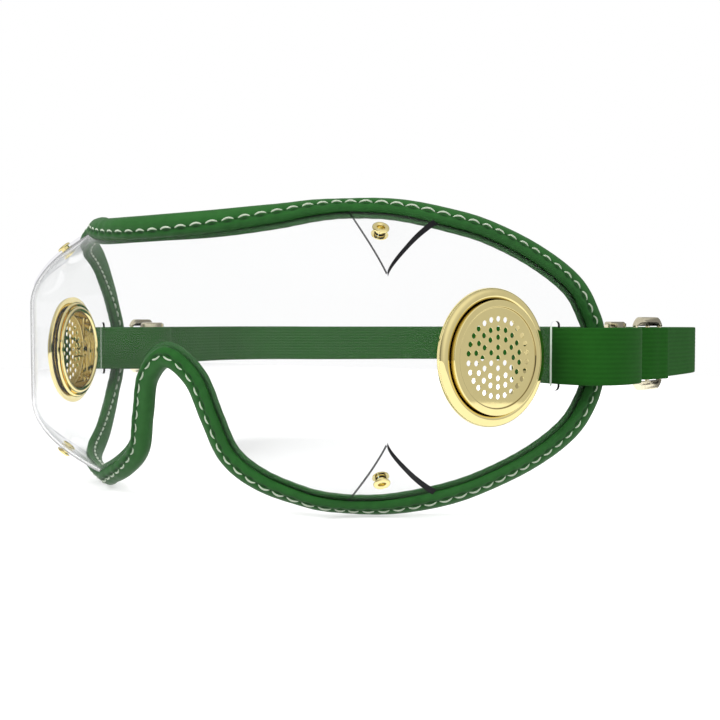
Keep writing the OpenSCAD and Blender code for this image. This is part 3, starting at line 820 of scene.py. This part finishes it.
def buildDarts():
    # V patches: a front foot, the lap's top, and a wider rear foot, over the sheet's face; the
    # feet carry
    #     # painted shade
    t = np.linspace(0.0, 1, 25)[:, None]
    u = np.linspace(0, 1, 13)[None]
    n, m = t.size, u.size + 2
    rise = np.full((n, m), sheet["thick"])
    rise[:, [0, -1]] = dart["footRise"]
    s = dart["tipS"] - dart["frontW"] * t * (1 - u) + dart["rearW"] * t ** dart["rearBow"] * u
    foot = np.hstack([s[:, :1] - dart["frontFoot"], s,
                      s[:, -1:] + dart["rearFoot"] * (0.35 + 0.65 * t)])
    high = sheet["high"] * (dart["frontZ"] * (1 - u) + dart["rearZ"] * u)
    z = dart["tipZ"] + t * (high - dart["tipZ"])
    footZ = np.hstack([z[:, :1], z, z[:, -1:] - 0.5 * dart["rearFoot"]])
    blocks, faces, facings = [], [], []
    for side, word in sides:
        for up in (1, -1):
            middle, face = sheetPoint(foot, up * footZ), sheetFacing(foot, up * footZ)
            layers = [middle + (halfThick + h) * face for h in (rise[..., None], dart["lift"])]
            faces.append(np.concatenate(slabFaces(n, m)) + len(blocks) * 2 * n * m)
            blocks.append(mirrored(np.concatenate(layers).reshape(-1, 3), side))
            facings.append(mirrored(np.tile(face.reshape(-1, 3), (2, 1)), side))
    mesh = makeMesh("dartLaps", np.vstack(blocks), faces)
    store(mesh, "sheetFacing", np.vstack(facings))
    store(mesh, "thin", np.tile(np.where(np.arange(m) < 2, 1 - dart["frontShare"], 0.0),
                                2 * n * len(blocks)))
    # the feet take the near-black painted shade of the cut edges
    dark = np.tile(np.isin(np.arange(m - 1), (0, m - 2)), n - 1)
    slant = np.repeat([True, False, True, False], [n - 1, m - 1, n - 1, m - 1])
    kinds = np.tile(np.concatenate([dark, dark, slant]), len(blocks)).astype(np.int32)
    mesh.polygons.foreach_set("material_index", kinds)
    return markSharp(outward(mesh, merge=False), 30)


addPiece("dartLaps", buildDarts(), [clearFilm, cutEdgeShade], "goggles")
print("clear sheet is cut")


# Turned brass: eyelets, vent caps and rings

def lathe(profile, count):
    # a profile of radius and height turned about the upright axis
    r, h = np.asarray(profile, float).T
    t = np.linspace(0, 2 * math.pi, count, endpoint=False)[:, None]
    points = np.stack(np.broadcast_arrays(r * np.cos(t), r * np.sin(t), h), -1)
    return points.reshape(-1, 3), [gridFaces(count, len(r), True)]


def buildEyelets():
    # a barrel with a rolled head in front and behind, each a flattened half circle
    low, high = -halfThick - 0.15, sheet["thick"] * 1.5 + 0.15
    inner = eyelet["barrel"] - eyelet["wall"]
    roll = (eyelet["head"] - inner) / 2
    t = np.linspace(math.pi, 0, 14)
    front, back = (np.stack([inner + roll * (1 + np.cos(t)), level + rise * np.sin(t) ** 0.8], -1)
                   for level, rise in ((high, 0.62), (low, -0.55)))
    barrel = [(eyelet["barrel"], high), (eyelet["barrel"], low)]
    points, grid = lathe(np.vstack([front, barrel, back[::-1], front[:1]]), 40)
    parts = [(placed(points, eyelet["s"], z, side), grid)
             for side, word in sides for z in (eyelet["top"], -eyelet["bottom"])]
    return markSharp(outward(makeMesh("dartEyelets", *joined(parts))), 35)


addPiece("dartEyelets", buildEyelets(), [polishedBrass], "goggles",
         ["dart_eyelets"])


def ventCapProfile():
    # perforated plate, barrel rolled over inside, wall, crowned flange, then the face's rim
    bore, barrel = vent["bore"], vent["bore"] + vent["wall"]
    face, flange, high = vent["face"], vent["flange"], vent["faceHigh"]
    floor, under = high - vent["dish"], high - vent["dish"] - vent["plate"]
    end = -sheet["thick"] - 0.85
    crown = np.linspace(0, math.pi, 22)[:-1]
    crownMid, crownHalf = (face + flange) / 2 + 0.05, (flange - face) / 2 - 0.05
    return np.vstack([
        [(0, under), (bore - 0.3, under)],
        arc((bore - 0.3, under - 0.3), 0.3, 90, 0, 5),
        [(bore, end - 0.2)],
        arc((bore + 0.95, end - 0.15), 0.95, 180, 340, 12),
        [(barrel + 0.6, end + 0.02), (barrel, end + 0.02), (barrel, high - 1.0),
         (face - 0.5, high - 1.0), (face - 0.5, 0.02), (flange - 0.3, 0.02)],
        np.stack([crownMid + crownHalf * np.sign(np.cos(crown)) * np.abs(np.cos(crown)) ** 0.65,
                  0.12 + vent["crown"] * np.sin(crown) ** 0.85 + 0.2 * (1 - np.cos(crown))], -1),
        [(face + 0.1, 0.55), (face, 0.62), (face, high - 0.3)],
        arc((face - 0.25, high - 0.25), 0.25, 0, 90, 7),
        [(face - 0.3, high), (bore + 0.25, high), (bore + 0.2, high), (bore + 0.1, high - 0.03),
         (bore, floor + 0.03), (bore - 0.1, floor), (bore - 0.15, floor), (0, floor)]])


def atVent(points, side):
    # local points carried to the sheet's front face at the vent
    return placed(points + (0, 0, halfThick), vent["s"], 0.0, side)


holeRings = ((0, 1), (0.27, 6), (0.53, 12), (0.75, 18), (1, 26))  # share of the way out, count


def ventHoles(side):
    # rings of round punches through the face
    punch = circleXY(vent["holeD"] / 2, 18)
    centres = np.vstack([circleXY(share * vent["outerRow"], count) for share, count in holeRings])
    points, faces = joined([prism(punch + centre, vent["faceHigh"] - 1.4, vent["faceHigh"] + 1.0)
                            for centre in centres])
    return atVent(points, side), faces


def grooveShade(mesh, side):
    # how much painted shade each point takes: 1 on the wall between the flange and the raised
    # face,
    #     # less inside the cap and on the step at the plate's rim, from the place in the vent's
    #     own frame
    at, down, across, out = onSheet(vent["s"], 0.0)
    local = mirrored(pointsOf(mesh), side) - at - out * halfThick
    r, h = np.hypot(local @ down, local @ across), local @ out
    high, floor = vent["faceHigh"], vent["faceHigh"] - vent["dish"]
    wall = bell(np.maximum(np.abs(r - vent["face"]) - 0.12, 0), 0.25)
    value = wall * ease(0.45, 0.8, h) * (1 - ease(high - 0.55, high - 0.2, h))
    value = np.where((r < vent["bore"] + 0.1) & (h < floor - 0.1), vent["inside"], value)
    step = (np.abs(r - vent["bore"] - 0.03) < 0.12) & (h > floor - 0.05) & (h < high - 0.01)
    store(mesh, "groove", np.where(step, vent["step"], value))


ventRingProfile = [(13.6, -1.05), (14.6, -1.1), (15.55, -1.25), (15.95, -1.45), (15.7, -1.75),
                   (15.3, -1.9), (15.0, -1.7), (13.6, -1.65), (13.6, -1.05)]
for side, word in sides:
    points, grid = lathe(ventCapProfile(), 180)
    cap = addPiece("ventCap_" + word, outward(makeMesh("cap", atVent(points, side), grid)),
                   [polishedBrass], "goggles", ["vent_cap_" + word])
    cut(cap, [ventHoles(side)])
    markSharp(cap.data, 32)
    grooveShade(cap.data, side)
    points, grid = lathe(ventRingProfile, 180)
    ring = markSharp(makeMesh("ventRing_" + word, atVent(points, side), grid), 32)
    addPiece("ventRing_" + word, outward(ring), [polishedBrass], "goggles",
             ["vent_ring_" + word])
print("brass vents are punched")


# The elastic strap

strap = dict(width=15.0, thick=0.9, ribs=12, ribHigh=0.02, edgeR=0.4, headBack=159.5)
slide = dict(past=20.0, turn=12.0, barR=0.6, pitch=7.2, gap=0.2, long=16.0, high=21.0,
             thick=1.3, bevel=0.35, railGap=1.1, footGap=0.2, reach=(8.1, 9.0, 8.1))
tip = dict(long=11.4, high=18.4, thick=2.0, ahead=0.55, corner=0.9, bevel=0.4, rollR=0.45)
slotAt = sheetPoint(sheet["slotS"], 0.0)[:2]
slotOut = np.array([math.sin(sideTurn), -math.cos(sideTurn)])
slotBack = np.array([math.cos(sideTurn), math.sin(sideTurn)])
edgePast = 15.2 + halfRoll
slideAt = slotAt + (edgePast + slide["past"]) * slotBack - 0.5 * slotOut
slideTurn = math.radians(slide["turn"])
slideBack = np.array([math.sin(slideTurn), math.cos(slideTurn)])
slideOut = np.array([math.cos(slideTurn), -math.sin(slideTurn)])
strapPass = slide["barR"] + slide["gap"] + strap["thick"] / 2
strapWrap = slide["barR"] + 0.15 + strap["thick"] / 2
strapOver = strapWrap + strap["thick"] + slide["gap"]


def pastEdge(f, w):
    # f back past the leather's rim, and w out of the sheet
    return slotAt + (edgePast + f) * slotBack + w * slotOut


def toEdge(share, w):
    # a share of the way from the slot to the leather's rim, and w out of the sheet
    return pastEdge((share - 1) * edgePast, w)


def bySlide(f, w):
    # a point beside the slide: f back along its plate and w out of it
    return slideAt + f * slideBack + w * slideOut


def fromSlide(x, y):
    # a point given by its distance from the slide along the plan's own axes
    return slideAt + np.array([x, y])


outerPath = openCurve([
    slotAt - 6 * slotOut, slotAt - 3 * slotOut, slotAt + 3 * slotOut, toEdge(0.07, 9.3),
    toEdge(0.265, 12.75), toEdge(0.57, 13.9), toEdge(0.9, 12.9), pastEdge(3.5, 10.5),
    pastEdge(8.2, 6), bySlide(-slide["pitch"], -strapPass), bySlide(0, strapPass),
    bySlide(slide["pitch"], strapOver)], 14)
innerPath = openCurve([
    slotAt, slotAt - 3.05 * slotOut, toEdge(0.05, -8.9), toEdge(0.1, -14.8),
    toEdge(0.21, -19.9), toEdge(0.4, -22.2), toEdge(0.63, -21), toEdge(0.8, -16.3),
    toEdge(0.92, -10.2), pastEdge(2.3, -5.3), pastEdge(8, -3.3), fromSlide(-4.4, -4.8),
    bySlide(0, -strapPass), bySlide(4.2, 0.2), bySlide(slide["pitch"], strapWrap)], 14)
foldPath = np.vstack([innerPath[::-1], outerPath[1:]])
runEnd = fromSlide(1.9, 49)
runPath = openCurve([
    bySlide(-slide["pitch"], -strapPass), bySlide(0, strapPass), bySlide(3.6, 1.75),
    bySlide(5.8, 2.25), bySlide(slide["pitch"], 2.35), bySlide(8.4, 1.95), bySlide(9.25, 1.1),
    bySlide(10.3, 0.1), fromSlide(1.5, 11.9), fromSlide(1.0, 14.8), fromSlide(1.05, 21),
    fromSlide(1.5, 31), fromSlide(2, 41), runEnd, runEnd - (0.9, -7)], 10)
bandShape = np.array([(100, -10), (100, 0), (97.8, 10.5), (92.2, 23), (82.4, 34.3), (69.6, 46.2),
                      (54, 62.7), (36.3, 82), (17.6, 95.4), (0, 100), (-17.6, 95.4)]) / 100
bandPath = openCurve(bandShape * (runEnd[0], strap["headBack"] - runEnd[1]) + (0, runEnd[1]), 16)
bandPath = np.vstack([bandPath, (bandPath * (-1, 1))[-2::-1]])
tipAt = fromSlide(-9.1, -8.2)
tipBack = unitRows(np.array([0.6, 6.6]))
tipOut = np.array([tipBack[1], -tipBack[0]])
tailPath = openCurve([
    bySlide(0, -strapPass), bySlide(4.2, 0.2) + (0, 0.05),
    *[bySlide(slide["pitch"] + f, w) for f, w in arc((0, 0), strapWrap, 110, 50, 2)],
    fromSlide(0.4, 9.4), fromSlide(-3, 10.1), fromSlide(-5.8, 8.9),
    *[tipAt + (tip["long"] - 0.4 + f) * tipBack
      for f in (2.8, 0, 0.2 - tip["long"] / 2, 0.4 - tip["long"], -6 - tip["long"])]], 12)


def strapSection():
    # ribs across both faces, with round edges above and below
    half, flat = strap["width"] / 2, strap["thick"] / 2 - strap["ribHigh"]
    high = half - strap["edgeR"]
    z = np.linspace(-high, high, strap["ribs"] * 6 + 1)
    rib = flat + strap["ribHigh"] * np.cos(math.pi * strap["ribs"] * (z + half) / half)
    turn = np.radians(np.linspace(90, -90, 9)[1:-1])
    w, cap = flat * np.sin(turn), strap["edgeR"] * np.cos(turn)
    return np.concatenate([rib, w, -rib[::-1], -w]), np.concatenate([z, high + cap, z[::-1],
                                                                    -high - cap])


def buildStrap(name, path, side):
    # the section carried along a plan path, with millimetres along and across as its map
    w, z = strapSection()
    padded = np.vstack([path[:1], path, path[-1:]])
    along = unitRows(padded[2:] - padded[:-2])
    square = np.stack([along[:, 1], -along[:, 0]], -1)
    plan = path[:, None] + w[:, None] * square[:, None]
    points = np.concatenate([plan, np.broadcast_to(z[:, None], (*plan.shape[:2], 1))], -1)
    uv = np.stack(np.broadcast_arrays(runLength(path)[:, None], z), -1)
    mesh = makeMesh(name, mirrored(points.reshape(-1, 3), side), tubeFaces(len(path), len(z)),
                    uv.reshape(-1, 2))
    return markSharp(outward(mesh, merge=False), 60)


def addStrap(name, path, side, body, nodes):
    # one length of the elastic
    return addPiece(name, buildStrap(name, path, side), [ribbedElastic], body,
                    nodes)


addStrap("strapBand", bandPath, 1, "goggles", ["strap_band"])
for side, word in sides:
    body = "adjuster_" + word
    fold = addStrap("strapFold_" + word, foldPath, side, None,
                    ["strap_outer_" + word, "strap_inner_" + word])
    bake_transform(fold)
    run = addStrap("strapRun_" + word, runPath, side, None, ["strap_run_" + word])
    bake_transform(run)
    addStrap("strapTail_" + word, tailPath, side, body, ["strap_tail_" + word])
print("strap is threaded")


# The slides and the strap's brass tips

def softBox(outlineFZ, thick, bevel):
    # a flat outline given along and up, made solid across and rounded at its rims
    toward = unitRows(np.roll(outlineFZ, -1, axis=0) - np.roll(outlineFZ, 1, axis=0))
    inward = np.stack([-toward[:, 1], toward[:, 0]], -1)
    inward = inward * np.sign(((outlineFZ.mean(0) - outlineFZ) * inward).sum())
    half, soft = thick / 2, bevel * 0.3
    levels = [(-half, bevel), (-half + soft, soft), (-half + bevel, 0)]
    blocks = []
    for w, inset in levels + [(-w, inset) for w, inset in levels[::-1]]:
        f, z = (outlineFZ + inward * inset).T
        blocks.append(np.column_stack([f, np.full(len(f), w), z]))
    return np.vstack(blocks), tubeFaces(len(blocks), len(outlineFZ))


def railOutline():
    # a rail seen from the side: an arch whose feet stand at the front and rear bars
    foot = strap["width"] / 2 + slide["footGap"]
    low = strap["width"] / 2 + slide["railGap"]
    high, half = slide["high"] / 2, slide["long"] / 2
    rear = [(half - 3.1, low), (half - 2.2, foot + 0.45), (half - 1.4, foot), (half - 0.1, foot),
            (half, foot + 0.5), (half - 0.55, foot + 1.3), (half - 1.25, high - 0.85),
            (half - 2.1, high - 0.3), (half - 3.3, high - 0.02)]
    front = [(-f, z) for f, z in rear[::-1]]
    return closedCurve(front[5:] + [(0, low + 0.08)] + rear + [(0, high)] + front[:5], 5)[:-1]


def fitted(name, parts, at, back, out, side):
    # solids given along, across and up, carried to a place in the plan as one mesh
    points, faces = joined(parts)
    plan = at + points[:, :1] * back + points[:, 1:2] * out
    mesh = makeMesh(name, mirrored(np.column_stack([plan, points[:, 2]]), side), faces)
    return markSharp(outward(mesh), 40)


def buildSlide(name, side):
    # a rail above and below, and three round bars between them
    parts = [softBox(railOutline() * (1, up), slide["thick"], slide["bevel"]) for up in (1, -1)]
    for k, reach in enumerate(slide["reach"], -1):
        bar, faces = prism(circleXY(slide["barR"], 28), -reach, reach)
        parts.append((bar + (k * slide["pitch"], 0, 0), faces))
    return fitted(name, parts, slideAt, slideBack, slideOut, side)


def buildTip(name, side):
    # a rounded plate folded over the strap's end, rolled at its mouth
    box = roundedXY(tip["long"] / 2, tip["high"] / 2, tip["corner"])
    parts = [softBox(box, tip["thick"], tip["bevel"])]
    reach, mouth = tip["high"] / 2 - 0.5, tip["thick"] / 2 - 0.1
    for w in (-mouth, mouth):
        roll, faces = prism(circleXY(tip["rollR"], 16), -reach, reach)
        parts.append((roll + (tip["long"] / 2 - 0.5, w, 0), faces))
    middle = tipAt + tipBack * (tip["long"] / 2 - tip["ahead"])
    return fitted(name, parts, middle, tipBack, tipOut, side)


for side, word in sides:
    for name, build, stands in (("strapSlide_", buildSlide, "slide_"),
                                ("strapTip_", buildTip, "strap_tip_")):
        addPiece(name + word, build(name + word, side), [brushedBrass], "adjuster_" + word,
                 [stands + word])
print("slides and tips are on")


# Floor, light and camera

studio = dict(floorZ=-41.2, floorHalf=700, floorColour=[0.62] * 3, floorGlow=0.45,
              floorThrough=0.24, worldFill=0.55,
              cameraAt=(175.5, -244.3, 8.25), azimuth=31.81, down=2.1, lens=47.92)
# what polished faces mirror: a grey wall, a bright panel to the right of the camera and above
# it, a bright floor from a little below the horizon, and a dark zone behind
mirrorLook = dict(wall=0.62, dim=0.25, dimAt=(-0.53, -0.85, 0), dimFrom=0.75, dimTo=0.97,
                  bright=0.95, brightAt=(0.72, -0.35, 0.6), brightFrom=0.6, brightTo=1.0,
                  low=1.2, lowAt=(0, 0, -1), lowFrom=0.079, lowTo=0.082,
                  dark=0.22, darkAt=(0.3, 0.92, 0.05), darkFrom=0.91, darkTo=0.955)


def buildFloor():
    # a level square that glows where it is seen, and less where it is seen through the sheet
    corners = np.array([(-1, -1, 0), (1, -1, 0), (1, 1, 0), (-1, 1, 0)]) * studio["floorHalf"]
    mesh = makeMesh("paleFloor", corners + (0, 0, studio["floorZ"]), [[(0, 1, 2, 3)]])
    floor = newObject("paleFloor", mesh)
    m, tree, main = newMaterial("paleFloor")
    through = calc(tree, "MULTIPLY", rayMask(tree, "Is Transmission Ray"), studio["floorThrough"])
    glow = blend(tree, rayMask(tree, "Is Camera Ray"), through, studio["floorGlow"], "FLOAT")
    fill(main, {"Base Color": studio["floorColour"], "Roughness": 0.9,
                "Specular IOR Level": 0.0, "Emission Color": (1, 1, 1),
                "Emission Strength": glow})
    mesh.materials.append(m)
    floor.visible_glossy = False


def buildWorld(look):
    # white where it is seen or seen through, zones round four directions where mirrored, each
    # a smooth step of the cosine from its own direction, and a soft fill otherwise
    world = bpy.data.worlds.new("studio")
    bpy.context.scene.world = world
    world.use_nodes = True
    tree = world.node_tree
    direction = node(tree, "TexCoord").outputs["Generated"]
    mirror = look["wall"]
    for name in ("dim", "bright", "low", "dark"):
        at = tuple(unitRows(np.array(look[name + "At"], float)))
        near = node(tree, "VectorMath", {0: direction, 1: at}, operation="DOT_PRODUCT")
        mask = stepped(tree, near.outputs["Value"], look[name + "From"], look[name + "To"])
        mirror = blend(tree, mask, mirror, look[name], "FLOAT")
    rest = blend(tree, rayMask(tree, "Is Glossy Ray"), studio["worldFill"], mirror, "FLOAT")
    seen = rayMask(tree, "Is Camera Ray", "Is Transmission Ray")
    fill(tree.nodes["Background"], {"Color": (1, 1, 1),
                                    "Strength": blend(tree, seen, rest, 1.0, "FLOAT")})


def addLamp(name, at, toward, size, power):
    # a soft square lamp aimed at a point
    data = bpy.data.lights.new(name, "AREA")
    data.shape, data.size, data.energy = "SQUARE", size, power
    lamp = newObject(name, data)
    lamp.location = np.array(at, float) * mm
    lamp.visible_camera = lamp.visible_glossy = lamp.visible_transmission = False
    aim = Vector(toward) * mm - lamp.location
    lamp.rotation_euler = aim.to_track_quat("-Z", "Y").to_euler()


buildFloor()
buildWorld(mirrorLook)
addLamp("keyLamp", (-350, -700, 650), (0, 0, 0), 0.5, 9)
addLamp("fillLamp", (700, -350, 350), (40, 0, 0), 0.6, 4)
addLamp("backLamp", (-200, 700, 500), (0, 60, 0), 0.5, 5)

cameraData = bpy.data.cameras.new("camera")
cameraData.lens = studio["lens"]
cameraData.sensor_width = 36
cameraData.clip_start = 0.01
camera = newObject("camera", cameraData)
camera.location = np.array(studio["cameraAt"]) * mm
camera.rotation_euler = (math.radians(90 - studio["down"]), 0, math.radians(studio["azimuth"]))
bpy.context.scene.camera = camera
bpy.context.scene.view_settings.view_transform = "Standard"
print("studio is lit")
